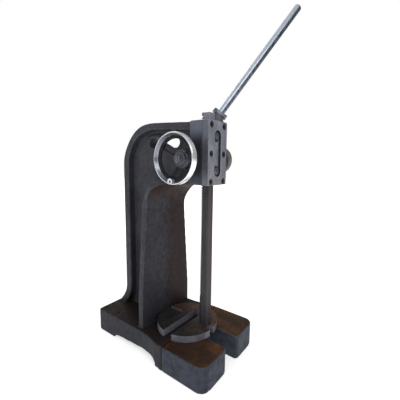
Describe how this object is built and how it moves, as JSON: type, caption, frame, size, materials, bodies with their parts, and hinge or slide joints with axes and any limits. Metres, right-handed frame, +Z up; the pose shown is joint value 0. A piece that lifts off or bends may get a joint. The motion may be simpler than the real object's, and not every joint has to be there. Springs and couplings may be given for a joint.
{
  "type": "arbor press",
  "caption": "Deep-throat arbor press: forked-base C-frame, rack ram behind a screwed cap, quick-return handwheel, ratchet lever and loose notched table plate.",
  "frame": {"origin": "on the underside of the front foot, in the symmetry plane, 80 mm behind the ram axis", "axes": "+Z up along the ram; +Y from the operator towards the column; +X to the operator's right, lever side"},
  "size_m": [0.6515, 0.7498, 1.5901],
  "materials": {
    "casting_paint": "worn dark charcoal paint over rough casting",
    "head_paint": "blue-grey, thin and worn",
    "dark_steel": "dark oiled steel",
    "polished_steel": "turned and polished rim",
    "zinc_steel": "bright drawn bar",
    "black_screws": "black oxide",
    "plate_steel": "machined iron with light rust",
    "bronze": "dull bronze"
  },
  "bodies": {
    "frame": {"frame_casting": "casting_paint", "head_cap": "head_paint", "cap_screw_1": "black_screws", "cap_screw_2": "black_screws", "cap_screw_3": "black_screws", "cap_screw_4": "black_screws", "cap_screw_5": "black_screws", "cap_screw_6": "black_screws", "ram_gib": "bronze", "gib_screw_upper": "black_screws", "gib_screw_lower": "black_screws", "gib_locknut_upper": "black_screws", "gib_locknut_lower": "black_screws", "pinion_bush_left": "bronze", "pinion_bush_right": "bronze"},
    "ram": {"ram_rack": "dark_steel"},
    "pinion": {"pinion_shaft": "dark_steel", "ratchet_spacer": "dark_steel", "ratchet_wheel": "dark_steel", "handwheel": "polished_steel", "handwheel_washer": "zinc_steel", "handwheel_nut": "zinc_steel", "lever_washer": "zinc_steel", "lever_nut": "zinc_steel"},
    "lever": {"lever_housing": "casting_paint", "socket_collar": "dark_steel", "collar_bolt_rear": "black_screws", "collar_bolt_front": "black_screws", "lever_set_screw": "black_screws", "lever_bar": "zinc_steel"},
    "pawl": {"pawl_plunger": "zinc_steel"},
    "table": {"table_plate": "plate_steel"}
  },
  "joints": [
    {"name": "ram_slide", "type": "slide", "parent": "frame", "child": "ram", "axis": [0, 0, 1], "range_m": [0, 0.5]},
    {"name": "pinion_spin", "type": "hinge", "parent": "frame", "child": "pinion", "pos_m": [0, -0.03843, 0.8697], "axis": [1, 0, 0], "range_deg": [-1140, 0]},
    {"name": "lever_swing", "type": "hinge", "parent": "frame", "child": "lever", "pos_m": [0, -0.03843, 0.8697], "axis": [1, 0, 0], "range_deg": [-55, 75]},
    {"name": "pawl_pull", "type": "slide", "parent": "lever", "child": "pawl", "axis": [0, 1, 0], "range_m": [0, 0.008], "stiffness_N_per_m": 1200},
    {"name": "table_turn", "type": "hinge", "parent": "frame", "child": "table", "pos_m": [-0.011, 0.0135, 0.108], "axis": [0, 0, 1], "continuous": true}
  ],
  "couplings": [
    {"joint": "pinion_spin", "follows": "ram_slide", "rad_per_m": -39.683}
  ]
}
